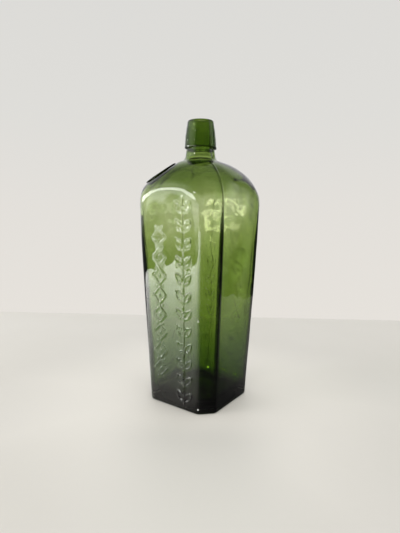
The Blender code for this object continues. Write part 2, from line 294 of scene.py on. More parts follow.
# Table, in the camera's own directions: X to the right, Y away from the camera. Its grain is given as scale,
# strength and depth, and its mottle as scale and detail.
TABLE_LEFT = -0.645
TABLE_RIGHT = 0.42
TABLE_FRONT = -1.40
TABLE_BACK_LEFT = 0.352
TABLE_BACK_RIGHT = 0.300
TABLE_THICKNESS = 0.03
TABLE_ROUGHNESS = 0.55
TABLE_GRAIN = (260.0, 0.3, 0.0003)
TABLE_MOTTLE = (6.0, 5.0)
TABLE_COLOURS = [(0.3, (0.70, 0.675, 0.615, 1.0)), (0.7, (0.725, 0.70, 0.645, 1.0))]

# The table's painted light and shade: colours, and between which distances each one comes in. They are
# painted light round the bottle, painted shade in front of it, a painted shadow under its foot, painted shade
# in the table as the glass mirrors it, and a painted glow of the window's reflection.
LIT_TABLE_COLOUR = (0.90, 0.865, 0.79, 1.0)
LIT_TABLE_REACH = (0.22, 0.05)
FRONT_SHADE_COLOUR = (0.735, 0.715, 0.655, 1.0)
FRONT_SHADE_ASIDE = (0.10, 0.02)
FRONT_SHADE_AHEAD = (-0.045, -0.10)
FOOT_SHADE_BRIGHTNESS = 0.01
FOOT_SHADE_REACH = (0.0345, 0.0425)
REFLECTED_TABLE_SHADE_COLOUR = (0.10, 0.097, 0.09, 1.0)
MIRRORED_TABLE_LEFT = (0.04, -0.02)
MIRRORED_TABLE_AHEAD = (0.02, 0.09)
REFLECTED_BACK_SHADE_COLOUR = (0.45, 0.43, 0.40, 1.0)
MIRRORED_BACK_AHEAD = (-0.03, 0.05)
PAINTED_GLOW_START = 0.06
PAINTED_GLOW_AHEAD = (0.14, 0.04)
PAINTED_GLOW_STRENGTH = 7.4
PAINTED_GLOW_INNER_SHARE = 0.12

# Light: an even world, and a window at the left
AMBIENT = 1.0
WINDOW_PLACE = (-1.15, -0.30, 0.45)
WINDOW_TARGET = (0.0, 0.0, 0.10)
WINDOW_WIDTH = 0.55
WINDOW_HEIGHT = 0.45
WINDOW_POWER_W = 3.0
WINDOW_LIGHT_COLOUR = (1.0, 0.99, 0.97)

# The pale wall, by the sine of the elevation. It's a little warmer near the table.
WALL_SINES = (-0.35, 0.65)
WALL_COLOURS = [
    (0.0, (0.80, 0.765, 0.715, 1.0)),
    (0.35, (0.77, 0.745, 0.705, 1.0)),
    (0.55, (0.735, 0.725, 0.695, 1.0)),
    (1.0, (0.70, 0.695, 0.675, 1.0)),
]

# What shows through the glass instead of the wall: a greyer side toward the camera, and a dark ceiling
NEAR_SIDE_AHEAD = (0.3, -0.6)
NEAR_SIDE_BRIGHTNESS = 0.5
CEILING_FADE = np.radians((12.0, 42.0))
CEILING_BRIGHTNESS = 0.10

# What the glass mirrors: the brightness of the room by turns in degrees, which go round from straight behind
# the bottle with the left at -90, and how the room changes high up and low down
ROOM = [
    (-180, 0.05), (-160, 0.06), (-140, 0.20), (-118, 0.95), (-60, 0.95), (-20, 0.80), (30, 0.80),
    (55, 0.10), (62, 0.10), (68, 0.90), (90, 0.90), (105, 0.10), (180, 0.05),
]
HIGH_ROOM_RISE = np.radians((26.0, 55.0))
HIGH_ROOM_BRIGHTNESS = 0.20
LOW_ROOM_FALL = np.radians((-1.0, -6.0))
LOW_ROOM_SHARE = 0.16

# Bright patches in that room, each over the ones before: strength, colour, turns and their softness,
# elevations and their softness, in degrees, and how often the light has crossed glass, if that matters.
# After four crossings, on its way through the bottle's far side, only the window's edge is mirrored.
WHITE = (1.0, 1.0, 1.0)
WINDOW_COLOUR = (1.0, 1.0, 0.97)
FAR_SIDE_COLOUR = (0.84, 0.70, 1.0)
NO_CROSSING = (-0.5, 0.5)
FOUR_CROSSINGS = (3.5, 4.5)
CROSSING_SOFTNESS = 0.1
LAMP_TURNS = (-138.5, -133.5)
PATCHES = [
    (1.5, WHITE, (-115.0, -75.0), 12.0, (13.0, 30.0), 2.0, None),  # Wall over the window
    (3.6, WHITE, (-124.0, -96.0), 4.0, (-3.2, 2.5), 1.3, None),  # Sill under the window
    (11.0, WINDOW_COLOUR, (-130.0, -66.0), 0.6, (2.5, 11.0), 0.6, NO_CROSSING),  # Window
    (500.0, FAR_SIDE_COLOUR, (-127.0, -106.5), 0.6, (4.5, 11.5), 0.6, FOUR_CROSSINGS),  # Its edge
    (30.0, WINDOW_COLOUR, LAMP_TURNS, 0.6, (20.9, 22.7), 0.3, NO_CROSSING),  # Lamp, in two bars
    (30.0, WINDOW_COLOUR, LAMP_TURNS, 0.6, (18.5, 19.3), 0.3, NO_CROSSING),
    (2.2, WINDOW_COLOUR, (-152.0, -116.0), 1.8, (-8.0, 1.0), 1.8, None),  # Door
]


def mix(start, end, share):
    return start + (end - start) * share


def melt(first, second, depth):
    """The smaller of two values, with the crossing rounded off over a depth."""
    overlap = np.maximum(depth - np.abs(first - second), 0.0)
    return np.minimum(first, second) - overlap * overlap / (4.0 * depth)


def ease(share):
    share = np.clip(share, 0.0, 1.0)
    return share * share * (3.0 - 2.0 * share)


def plateau(z, start, full, fade, end):
    """0 up to a start and from an end on, and 1 between where it's full and where it fades."""
    return ease((z - start) / (full - start)) * (1.0 - ease((z - fade) / (end - fade)))


def waves(points, height, seed, shortest, longest):
    """A smooth unevenness: plane waves in all directions, with lengths in a range."""
    rng = np.random.default_rng(seed)
    total = np.zeros(points.shape[:-1])
    for _ in range(WAVE_COUNT):
        way = rng.normal(size=3)
        way *= math.tau / (np.linalg.norm(way) * rng.uniform(shortest, longest))
        total += np.sin(points @ way + rng.uniform(0.0, math.tau))
    return height * (total / math.sqrt(WAVE_COUNT / 2.0))


# The tapered square and the shoulder dome

def panel_reach(z):
    return mix(BASE_WIDTH, SHOULDER_WIDTH, z / DOME_START) / 2.0


def corner_reach(z):
    cut = mix(BASE_CORNER_CUT, SHOULDER_CORNER_CUT, z / DOME_START)
    return (2.0 * panel_reach(z) - cut) / math.sqrt(2.0)


def flat_reach(aside, z, offset):
    panel = (panel_reach(z) + offset) / np.cos(aside)
    corner = (corner_reach(z) + offset) / np.cos(EIGHTH - aside)
    return melt(panel, corner, EDGE_MELT)


def half_panel():
    """The direction of a panel's edge, from the panel's middle."""
    return math.atan((panel_reach(0.0) - BASE_CORNER_CUT) / panel_reach(0.0))


def dome_point(turn, offset):
    """Radius and height of the dome's profile. Below its start it goes straight down."""
    height = DOME_HEIGHT + offset
    radius = (DOME_RADIUS + offset) * np.cos(np.maximum(turn, 0.0))
    return radius, DOME_START + height * np.where(turn < 0.0, turn, np.sin(turn))


def turn_at_height(z, offset):
    climb = (z - DOME_START) / (DOME_HEIGHT + offset)
    return np.where(climb < 0.0, climb, np.arcsin(np.clip(climb, 0.0, 1.0)))


def turn_at_radius(radius, offset):
    return math.acos(min(radius / (DOME_RADIUS + offset), 1.0))


def dome_reach(aside, radius):
    fade = np.maximum((radius - NECK_FOOT_RADIUS) / (DOME_RADIUS - NECK_FOOT_RADIUS), 0.0)
    return radius * (1.0 - DOME_SQUARENESS_SHARE * fade * np.cos(2.0 * aside) ** 2)


def seal_frame():
    """Middle of the seal's face, and its outward normal."""
    turn = turn_at_radius(SEAL_REACH, 0.0)
    radius, z = (float(value) for value in dome_point(turn, 0.0))
    tilt = math.atan2(DOME_HEIGHT * math.cos(turn), DOME_RADIUS * math.sin(turn))
    outward = np.array((math.cos(SEAL_AZIMUTH), math.sin(SEAL_AZIMUTH), 0.0))
    normal = outward * math.sin(tilt) + np.array((0.0, 0.0, math.cos(tilt)))
    return outward * radius + np.array((0.0, 0.0, z)) - normal * SEAL_PRESS, normal


def press_seat(points, offset):
    """Flattens what stands above the seal's seat, and fades out round it."""
    middle, normal = seal_frame()
    away = points - middle
    height = away @ normal
    above = height + SEAL_THICKNESS - offset
    aside = np.linalg.norm(away - height[..., None] * normal, axis=-1)
    fade = 1.0 - ease((aside - SEAL_RADIUS - SEAT_MARGIN) / SEAT_FADE)
    return points + ((melt(above, 0.0, EDGE_MELT) - above) * fade)[..., None] * normal


def turn_aside(angles):
    """How far each direction is turned from the middle of its nearest panel."""
    return np.abs(np.mod(angles + EIGHTH, QUARTER) - EIGHTH)


def meeting_turns(angles, offset):
    """The dome's turn where it meets the flats, for each direction."""
    aside = turn_aside(angles)
    low = np.zeros_like(angles)
    high = np.full_like(angles, QUARTER)
    for _ in range(MEETING_SEARCH_STEPS):
        middle = (low + high) / 2.0
        radius, z = dome_point(middle, offset)
        over = dome_reach(aside, radius) > flat_reach(aside, z, offset)
        low = np.where(over, middle, low)
        high = np.where(over, high, middle)
    return low


def around(angles, reach, z):
    """Points at a reach and a height, in each direction from the axis."""
    return np.stack(np.broadcast_arrays(reach * np.cos(angles), reach * np.sin(angles), z), axis=-1)


def surface(angles, z, radius, offset, inset=0.0):
    """Points where rays from the axis meet the surface, given the dome's radius at each height."""
    aside = turn_aside(angles)
    near_corner = ease((aside - CORNER_MELT_START) / (EIGHTH - CORNER_MELT_START))
    depth = EDGE_MELT + CORNER_MELT * near_corner
    reach = melt(flat_reach(aside, z, offset), dome_reach(aside, radius), depth) - inset
    return press_seat(around(angles, reach, z), offset)


def round_rows(angles, profile):
    """Rows of points round the axis, from pairs of radius and height."""
    return np.array([around(angles, radius, z) for radius, z in profile])


def curve_points(start, bend, end, steps):
    """A quadratic curve of radius and height, without its first point."""
    shares = np.arange(1, steps + 1)[:, None] / steps
    start, bend, end = (np.array(point) for point in (start, bend, end))
    return mix(mix(start, bend, shares), mix(bend, end, shares), shares)


def heel_rows(angles, turns, radius, foot, offset):
    """Rows of the round between the base and the walls. Its turns go from 0 at its foot to a quarter."""
    rows = []
    for turn in turns:
        z = foot + radius * (1.0 - math.cos(turn))
        inset = radius * (1.0 - math.sin(turn))
        rows.append(surface(angles, z, DOME_RADIUS + offset, offset, inset))
    return rows


def body_rows(angles, offset, low_z, wall_count, dome_count, end_radius):
    """Rows from a level near the base over the arch line and the dome to the neck's fillet."""
    turns = meeting_turns(angles, offset)
    meeting_z = dome_point(turns, offset)[1]
    wall_shares = np.linspace(0.0, 1.0, wall_count)[:, None]
    z = mix(low_z, meeting_z, wall_shares)
    radius = dome_point(turn_at_height(z, offset), offset)[0]
    walls = surface(angles, z, radius, offset)
    dome_shares = np.linspace(0.0, 1.0, dome_count + 1)[1:, None]
    radius, z = dome_point(mix(turns, turn_at_radius(end_radius, offset), dome_shares), offset)
    return np.concatenate((walls, surface(angles, z, radius, offset)))


def root_profile(foot_radius, spread, offset):
    """Fillet from the dome up to the neck's foot."""
    start = dome_point(turn_at_radius(foot_radius + spread, offset), offset)
    bend = dome_point(turn_at_radius(foot_radius, offset), offset)
    return float(start[0]), curve_points(start, bend, (foot_radius, NECK_FOOT_HEIGHT), ROOT_ROWS)


# Raised ornament

def raised(distance, half_width):
    """Height of a raised line or boss, from the distance to its middle."""
    return ease((half_width + RELIEF_SLOPE - distance) / (RELIEF_SLOPE * 2.0))


def unit_place(across, z, foot, tip, across_foot, across_tip, count):
    """Where points lie from the middle of their repeat of a pattern, across and up, and its length."""
    length = (tip - foot) / count
    number = np.clip(np.floor((z - foot) / length), 0, count - 1)
    side = across - mix(across_foot, across_tip, (z - foot) / (tip - foot))
    return side, z - (foot + (number + 0.5) * length), length


def leafy_stem(across, z):
    side, along_z, _ = unit_place(across, z, *STEM)
    ends = np.maximum(np.maximum(STEM[0] - z, z - STEM[1]), 0.0)
    height = raised(np.hypot(side, ends), STEM_HALF_WIDTH)
    away = np.abs(side) - LEAF_AWAY
    along = away * math.sin(LEAF_LEAN) + along_z * math.cos(LEAF_LEAN)
    beside = away * math.cos(LEAF_LEAN) - along_z * math.sin(LEAF_LEAN)
    half_width = np.maximum(LEAF_HALF_WIDTH * (1.0 - (2.0 * along / LEAF_LENGTH) ** 2), 0.0)
    past_end = np.maximum(np.abs(along) - LEAF_LENGTH / 2.0, 0.0)
    rim = np.hypot(past_end, np.abs(beside) - half_width)
    return np.maximum(height, raised(rim, LEAF_LINE_HALF_WIDTH))


def lozenge_chain(across, z):
    side, along, length = unit_place(across, z, *CHAIN)
    side, along = np.abs(side), np.abs(along)
    half_height = length * LINK_HALF_HEIGHT_SHARE
    edge = np.abs(side / LINK_HALF_WIDTH + along / half_height - 1.0)
    edge_distance = edge * LINK_HALF_WIDTH * half_height / math.hypot(LINK_HALF_WIDTH, half_height)
    height = raised(edge_distance, LINK_LINE_HALF_WIDTH)
    height = np.maximum(height, raised(np.hypot(side, along), BEAD_RADIUS))
    between = np.hypot(side - SMALL_BEAD_AWAY, along - length / 2.0)
    return np.maximum(height, raised(between, SMALL_BEAD_RADIUS))


def ornament(points):
    """Height of the raised ornament over the front and back panels."""
    z = points[..., 2]
    total = np.zeros(z.shape)
    for azimuth in ORNAMENTED_AZIMUTHS:
        out = points[..., 0] * math.cos(azimuth) + points[..., 1] * math.sin(azimuth)
        across = points[..., 1] * math.cos(azimuth) - points[..., 0] * math.sin(azimuth)
        on_panel = (out > ON_PANEL_SHARE * panel_reach(z)) & (np.abs(across) < out)
        height = np.maximum(leafy_stem(across, z), lozenge_chain(across, z))
        total += np.where(on_panel, height, 0.0)
    return total * RELIEF


def speck_middle(azimuth, z):
    return tuple(around(azimuth, panel_reach(z) / math.cos(turn_aside(azimuth)), z))


def specks(points):
    height = np.zeros(points.shape[:-1])
    for azimuth, z, _ in SPECKS:
        away = np.linalg.norm(points - speck_middle(azimuth, z), axis=-1)
        height = np.maximum(height, raised(away, SPECK_RADIUS))
    return height * SPECK_RAISE


# Unevenness

def outward_ways(points):
    """Directions that point out of the body: level on the walls, and fanning out over the dome."""
    ways = points.copy()
    ways[..., 2] = np.maximum(points[..., 2] - DOME_START, 0.0)
    return ways / np.linalg.norm(ways, axis=-1, keepdims=True)


def seam_height(angles, z):
    """Height of the mould seams, which fade out below the collar."""
    height = 0.0
    for azimuth in SEAM_AZIMUTHS:
        turn = np.abs(np.mod(angles - azimuth + math.pi, math.tau) - math.pi)
        height = np.maximum(height, 1.0 - ease(turn * panel_reach(SEAM_WIDTH_LEVEL) / SEAM_HALF_WIDTH))
    return height * SEAM_RAISE * (1.0 - ease((z - NECK_FOOT_HEIGHT) / NECK_CLEAR_LENGTH))


def hollow(points):
    """How far the middle of each panel has sunk."""
    angles = np.arctan2(points[..., 1], points[..., 0])
    across = np.clip(turn_aside(angles) / half_panel(), 0.0, 1.0)
    return PANEL_HOLLOW * (1.0 - across ** 2) ** 2 * plateau(points[..., 2], *HOLLOW_HEIGHTS)


def roughen_outside(points, angles):
    z = points[..., 2]
    shift = sum(waves(points, *kind) for kind in OUTER_WAVES) * ease(z / OUTER_WAVE_RISE)
    shift += ornament(points) + seam_height(angles, z) + specks(points) - hollow(points)
    neck = ease((z - NECK_FOOT_HEIGHT) / NECK_CLEAR_LENGTH)
    return points + outward_ways(points) * (shift * (1.0 - neck))[..., None]


def roughen_inside(points):
    z = points[..., 2]
    shift = sum(waves(points, *kind) for kind in INNER_WAVES)
    shift += waves(points, *INNER_CRINKLE) * plateau(z, *CRINKLE_HEIGHTS)
    shift -= FOOT_THICKENING * np.exp(-z / FOOT_THICKENING_HEIGHT)
    shift += SHOULDER_THINNING * plateau(z, *THINNING_HEIGHTS)
    neck = ease((z - DOME_START - DOME_HEIGHT + WALL) / NECK_FOOT_RISE)
    return points + outward_ways(points) * (shift * (1.0 - neck))[..., None]


# Meshes

def panel_angles(ornamented):
    """Directions over one panel: close together at its edges, and under raised ornament."""
    places = np.linspace(-1.0, 1.0, PANEL_SAMPLES)
    spacing = np.full(PANEL_SAMPLES, PLAIN_SPACING)
    spacing[np.abs(places) > EDGE_START] = EDGE_SPACING
    if ornamented:
        tangent = places * math.tan(half_panel())
        for middle in CARVED_MIDDLES:
            spacing[np.abs(tangent - middle) < CARVED_HALF_WIDTH] = CARVED_SPACING
    run = np.concatenate(([0.0], np.cumsum(1.0 / spacing[:-1])))
    count = int(run[-1] * (places[1] - places[0]))
    return half_panel() * np.interp(np.arange(count) * run[-1] / count, run, places)


def body_angles():
    angles = []
    for azimuth in PANEL_AZIMUTHS:
        angles.append(azimuth + panel_angles(azimuth in ORNAMENTED_AZIMUTHS))
        angles.append(azimuth + mix(half_panel(), QUARTER - half_panel(), CORNER_SHARES))
    return np.concatenate(angles)


def grid_faces(row_count, column_count, start=0):
    """Quads between the rows of a closed grid."""
    here = np.arange(column_count)
    after = (here + 1) % column_count
    faces = []
    for row in range(row_count - 1):
        low = start + row * column_count
        high = low + column_count
        faces += np.stack((low + here, low + after, high + after, high + here), axis=-1).tolist()
    return faces


def cap(points, faces, ring_start, column_count, tip, turned=False):
    """Closes a ring with triangles to a new point. Turned ones face the other way."""
    points.append(tip)
    for here in range(column_count):
        pair = [ring_start + here, ring_start + (here + 1) % column_count]
        faces.append([len(points) - 1, *(reversed(pair) if turned else pair)])


def add_seeds(points, faces, outer, inner):
    """Small bubbles inside the wall, as closed shells whose faces look into the bubble."""
    rng = np.random.default_rng(SEED_RANDOM)
    turns = np.arange(SEED_SIDES) * math.tau / SEED_SIDES
    for _ in range(SEED_COUNT):
        row = int(rng.integers(SEED_LOWEST_ROW, WALL_ROWS + DOME_ROWS // 2))
        column = int(rng.integers(outer.shape[1]))
        place = outer[row, column]
        near = inner[np.argmin(np.linalg.norm(inner - place, axis=-1))]
        middle = mix(place, near, rng.uniform(*SEED_DEPTHS))
        radius = SEED_RADIUS * rng.uniform(*SEED_SIZES)
        half_height = radius * rng.uniform(*SEED_STRETCHES)
        start = len(points)
        for lean in math.pi * np.arange(1, SEED_RINGS) / SEED_RINGS:
            points += (around(turns, radius * math.sin(lean), half_height * math.cos(lean)) + middle).tolist()
        faces += grid_faces(SEED_RINGS - 1, SEED_SIDES, start)
        cap(points, faces, start, SEED_SIDES, middle + (0.0, 0.0, half_height), True)
        last = start + (SEED_RINGS - 2) * SEED_SIDES
        cap(points, faces, last, SEED_SIDES, middle - (0.0, 0.0, half_height))


def add_object(name, data):
    made = bpy.data.objects.new(name, data)
    bpy.context.scene.collection.objects.link(made)
    return made


def add_piece(name, points, faces, material):
    data = bpy.data.meshes.new(name)
    data.from_pydata([tuple(point) for point in points], [], faces)
    data.shade_smooth()
    data.set_sharp_from_angle(angle=SHARP_ANGLE)
    data.materials.append(material)
    piece = add_object(name, data)
    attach(piece, "root")
    return piece


def kick_profile(thickness, reach):
    """Radius and height over the kick-up, from near its middle outwards."""
    radii = reach * np.arange(1, KICK_ROWS + 1) / KICK_ROWS
    return list(zip(radii, thickness + KICK_DEPTH * (1.0 - ease(radii / KICK_RADIUS))))


def outside_rows(angles):
    """Rows of the outside, from the heel up to the bore at the neck's end."""
    turns = QUARTER * np.arange(HEEL_ROWS) / HEEL_ROWS
    heel = heel_rows(angles, turns, HEEL_RADIUS, 0.0, 0.0)
    dome_end, root = root_profile(NECK_FOOT_RADIUS, NECK_ROOT_SPREAD, 0.0)
    rows = body_rows(angles, 0.0, HEEL_RADIUS, WALL_ROWS, DOME_ROWS, dome_end)
    aside = turn_aside(angles)
    root_rows = [around(angles, dome_reach(aside, radius), z) for radius, z in root]
    neck_top = HEIGHT - LIP_CAP
    z = np.linspace(NECK_FOOT_HEIGHT, COLLAR_FOOT_HEIGHT, NECK_ROWS)[1:]
    radii = mix(NECK_FOOT_RADIUS, NECK_WAIST_RADIUS, (z - NECK_FOOT_HEIGHT) / NECK_CLEAR_LENGTH)
    neck = [*zip(radii, z), (NECK_TIP_RADIUS, neck_top), (BORE_RADIUS, neck_top)]
    return np.concatenate((heel, roughen_outside(rows, angles), root_rows, round_rows(angles, neck)))


def inside_rows(angles):
    """Rows of the inside, from the mouth down to the floor."""
    z = np.linspace(HEIGHT - LIP_CAP, NECK_FOOT_HEIGHT, BORE_ROWS + 1)[1:-1]
    flare = BORE_FLARE * (HEIGHT - z) / (HEIGHT - NECK_FOOT_HEIGHT)
    eased = BORE_ROOT_EASE * np.maximum(1.0 - (z - NECK_FOOT_HEIGHT) / BORE_EASE_LENGTH, 0.0) ** 2
    bore = round_rows(angles, zip(BORE_RADIUS + flare + eased, z))
    dome_end, root = root_profile(BORE_FOOT_RADIUS + BORE_ROOT_EASE, BORE_ROOT_SPREAD, -WALL)
    low_z = FLOOR_THICKNESS + INNER_HEEL_RADIUS
    rows = body_rows(angles, -WALL, low_z, INNER_WALL_ROWS, INNER_DOME_ROWS, dome_end)
    turns = QUARTER * np.arange(INNER_HEEL_ROWS)[::-1] / INNER_HEEL_ROWS
    heel = heel_rows(angles, turns, INNER_HEEL_RADIUS, FLOOR_THICKNESS, -WALL)
    body = roughen_inside(np.concatenate((rows[::-1], heel)))
    floor_radius = panel_reach(0.0) - WALL - INNER_HEEL_RADIUS
    floor = round_rows(angles, kick_profile(FLOOR_THICKNESS, floor_radius * FLOOR_REACH_SHARE)[::-1])
    return np.concatenate((bore, round_rows(angles, root[::-1]), body, floor))


def bottle_body(material):
    """The body in one closed surface, with seeds in its wall. The inside has half as many columns."""
    angles = body_angles()
    inner_angles = angles[::2]
    outer = np.concatenate((round_rows(angles, kick_profile(0.0, KICK_RADIUS)), outside_rows(angles)))
    inner = inside_rows(inner_angles)
    columns, inner_columns = len(angles), len(inner_angles)
    points = [*outer.reshape(-1, 3).tolist(), *inner.reshape(-1, 3).tolist()]
    inner_start = len(outer) * columns
    faces = grid_faces(len(outer), columns) + grid_faces(len(inner), inner_columns, inner_start)
    last = inner_start - columns
    for here in range(columns):
        face = [last + here, last + (here + 1) % columns]
        if here % 2 == 1:
            face.append(inner_start + (here // 2 + 1) % inner_columns)
        faces.append([*face, inner_start + here // 2])
    cap(points, faces, 0, columns, (0.0, 0.0, KICK_DEPTH), True)
    inner_last = inner_start + (len(inner) - 1) * inner_columns
    cap(points, faces, inner_last, inner_columns, (0.0, 0.0, FLOOR_THICKNESS + KICK_DEPTH))
    add_seeds(points, faces, outer, inner.reshape(-1, 3))
    piece = add_piece("body_glass_shell", points, faces, material)
    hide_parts("bottle_body")


def rounded(middle, radius, start_turn, steps):
    """Points of a quarter round, as radius and height."""
    turns = start_turn + QUARTER * np.arange(steps + 1) / steps
    return [(middle[0] + radius * math.cos(turn), middle[1] + radius * math.sin(turn)) for turn in turns]


def lip_collar(material):
    """A tapered collar round the neck's end, a little uneven, with a foot that sags here and there."""
    foot_radius = NECK_WAIST_RADIUS + SEAM_GAP + COLLAR_FOOT_WALL
    tip_radius = NECK_TIP_RADIUS + SEAM_GAP + COLLAR_TIP_WALL
    side_foot = (foot_radius, COLLAR_FOOT_HEIGHT + COLLAR_FOOT_ROUND)
    side_tip = (tip_radius, HEIGHT - COLLAR_TIP_ROUND)
    swell = ((foot_radius + tip_radius) / 2.0 + COLLAR_SWELL, (side_foot[1] + side_tip[1]) / 2.0)
    foot_middle = (foot_radius - COLLAR_FOOT_ROUND, side_foot[1])
    tip_middle = (tip_radius - COLLAR_TIP_ROUND, side_tip[1])
    cap_under = HEIGHT - LIP_CAP - FUSE_DEPTH
    mouth_round = LIP_CAP * MOUTH_ROUND_SHARE
    mouth_middle = (BORE_RADIUS + mouth_round, HEIGHT - mouth_round)
    profile = [(NECK_WAIST_RADIUS - FUSE_DEPTH, COLLAR_FOOT_HEIGHT)]
    profile += rounded(foot_middle, COLLAR_FOOT_ROUND, -QUARTER, COLLAR_FOOT_STEPS)
    profile += curve_points(side_foot, swell, side_tip, COLLAR_SIDE_STEPS).tolist()
    profile += rounded(tip_middle, COLLAR_TIP_ROUND, 0.0, ROUND_STEPS)[1:]
    profile += rounded(mouth_middle, mouth_round, QUARTER, ROUND_STEPS)
    profile += [(BORE_RADIUS, cap_under), (NECK_TIP_RADIUS - FUSE_DEPTH, cap_under)]
    rows = round_rows(ROUND_TURNS, profile)
    ways = rows * (1, 1, 0)
    ways /= np.linalg.norm(ways, axis=-1, keepdims=True)
    outer = ease((np.hypot(rows[..., 0], rows[..., 1]) - NECK_TIP_RADIUS) / COLLAR_TIP_WALL)
    shift = waves(rows, *COLLAR_WAVES) + waves(rows * COLLAR_RIPPLE_STRETCH, *COLLAR_RIPPLES)
    rows = rows + ways * (outer * shift)[..., None]
    foot = 1.0 - ease((rows[..., 2] - COLLAR_FOOT_HEIGHT) / COLLAR_FOOT_SAG_HEIGHT)
    rows[..., 2] -= COLLAR_FOOT_SAG * foot * outer * (1.0 + waves(rows * (1, 1, 0), *COLLAR_FOOT_WAVES))
    points = rows.reshape(-1, 3).tolist()
    faces = np.mod(grid_faces(len(rows) + 1, ROUND_SEGMENTS), len(points)).tolist()
    piece = add_piece("lip_collar_glass", points, faces, material)
    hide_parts("lip_collar")


def shoulder_seal(material):
    """A pad of glass with a soft beaded rim, spread a little unevenly, sunk to fuse with its seat."""
    field_radius = SEAL_RADIUS - SEAL_RIM_WIDTH
    face_radius = SEAL_RADIUS - SEAL_EDGE_ROUND
    underside = -SEAL_THICKNESS - FUSE_DEPTH
    profile = [(SEAL_RADIUS - SEAL_EDGE_ROUND * SEAL_UNDERCUT_SHARE, underside)]
    profile += rounded((face_radius, -SEAL_EDGE_ROUND), SEAL_EDGE_ROUND, 0.0, ROUND_STEPS)
    profile += [(radius, 0.0) for radius in np.linspace(face_radius, 0.0, SEAL_FACE_STEPS)[1:-1]]
    rows = round_rows(ROUND_TURNS, profile)
    radius = np.hypot(rows[..., 0], rows[..., 1])
    in_field = 1.0 - ease((radius - field_radius + SEAL_FIELD_INSET) / SEAL_FIELD_FADE)
    from_beads = np.abs(radius - (SEAL_RADIUS + field_radius) / 2.0 + SEAL_BEAD_INSET)
    beads = np.cos(ROUND_TURNS * SEAL_BEADS) * (1.0 - ease(from_beads / SEAL_BEAD_HALF_WIDTH))
    shift = SEAL_BEAD_RAISE * beads + waves(rows, *SEAL_WAVES) - SEAL_FIELD_DEPTH * in_field
    rows[..., 2] += np.where(rows[..., 2] > -0.5 * SEAL_EDGE_ROUND, shift, 0.0)
    rows[1:, :, 2] -= SEAL_THINNING + SEAL_SAG * (radius[1:] / SEAL_RADIUS) ** 2
    points = rows.reshape(-1, 3).tolist()
    faces = grid_faces(len(rows), ROUND_SEGMENTS)
    last = (len(rows) - 1) * ROUND_SEGMENTS
    cap(points, faces, last, ROUND_SEGMENTS, (0.0, 0.0, float(rows[-1, :, 2].mean())))
    cap(points, faces, 0, ROUND_SEGMENTS, (0.0, 0.0, underside), True)
    middle, normal = seal_frame()
    turn = np.array(Vector((0.0, 0.0, 1.0)).rotation_difference(Vector(normal)).to_matrix())
    piece = add_piece("shoulder_seal_glass", np.array(points) @ turn.T + middle, faces, material)
    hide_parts("shoulder_seal")


# Materials

def new_material(name):
    material = bpy.data.materials.new(name)
    material.use_nodes = True
    return material, material.node_tree


def feed(tree, made, inputs):
    """Links sockets and sets plain values, to inputs by name or number."""
    for place, value in inputs.items():
        if isinstance(value, bpy.types.NodeSocket):
            tree.links.new(value, made.inputs[place])
        else:
            made.inputs[place].default_value = value


def node(tree, kind, inputs=None, **settings):
    made = tree.nodes.new("ShaderNode" + kind)
    for name, value in settings.items():
        setattr(made, name, value)
    feed(tree, made, inputs or {})
    return made


def noise(tree, coordinates, scale, detail, stretch=(1.0, 1.0, 1.0)):
    mapping = node(tree, "Mapping", {"Vector": coordinates, "Scale": stretch})
    inputs = {"Vector": mapping.outputs["Vector"], "Scale": scale, "Detail": detail}
    return node(tree, "TexNoise", inputs).outputs["Fac"]


def bumps(tree, coordinates, scale, strength, depth):
    """A normal that makes a surface finely uneven."""
    height = noise(tree, coordinates, scale, BUMP_DETAIL)
    inputs = {"Height": height, "Strength": strength, "Distance": depth}
    return node(tree, "Bump", inputs).outputs["Normal"]


def ramp(tree, factor, stops):
    made = node(tree, "ValToRGB", {"Fac": factor})
    elements = made.color_ramp.elements
    elements[0].position, elements[0].color = stops[0]
    elements[1].position, elements[1].color = stops[-1]
    for position, color in stops[1:-1]:
        elements.new(position).color = color
    return made.outputs["Color"]


def grey(value):
    return (value, value, value, 1.0)


def reckon(tree, operation, *values):
    """A Math node over sockets and plain numbers."""
    return node(tree, "Math", dict(enumerate(values)), operation=operation).outputs["Value"]


def product(tree, first, *others):
    for value in others:
        first = reckon(tree, "MULTIPLY", first, value)
    return first


def inverse(tree, value):
    return reckon(tree, "SUBTRACT", 1.0, value)


def share_between(tree, value, low, high, smooth=True):
    """0 on the low value's side and 1 on the high value's, which may also be the lower of the two."""
    inputs = {"Value": value, "From Min": low, "From Max": high}
    kind = "SMOOTHSTEP" if smooth else "LINEAR"
    return node(tree, "MapRange", inputs, interpolation_type=kind).outputs["Result"]


def band(tree, value, low, high, softness):
    """1 between two values, with soft ends."""
    rise = share_between(tree, value, low - softness, low + softness)
    fall = share_between(tree, value, high - softness, high + softness)
    return reckon(tree, "SUBTRACT", rise, fall)


def along(tree, vector, way):
    """How far a vector goes in a direction."""
    return node(tree, "VectorMath", {0: vector, 1: way}, operation="DOT_PRODUCT").outputs["Value"]


def blend(tree, factor, first, second, kind="MIX"):
    """A mix of two colours, each a socket or a plain colour."""
    inputs = {"Factor": factor, "A": first, "B": second}
    return node(tree, "Mix", inputs, data_type="RGBA", blend_type=kind).outputs["Result"]


def tinted(tree, colour, tint, share=1.0):
    return blend(tree, share, colour, tint, "MULTIPLY")


def depth_tint(tree, height):
    """Colour that the thickening of the glass toward the base adds."""
    stops = []
    for share in np.linspace(0.0, 1.0, HEAVY_GLASS_STOPS):
        extra = HEAVY_GLASS * math.exp(-max(share * HEAVY_GLASS_REACH, EVENLY_HEAVY) / HEAVY_GLASS_FADE)
        tint = [math.exp(-GLASS_DENSITY * (1.0 - part) * extra) for part in GLASS_COLOUR]
        stops.append((share, (*tint, 1.0)))
    return ramp(tree, share_between(tree, height, 0.0, HEAVY_GLASS_REACH, False), stops)


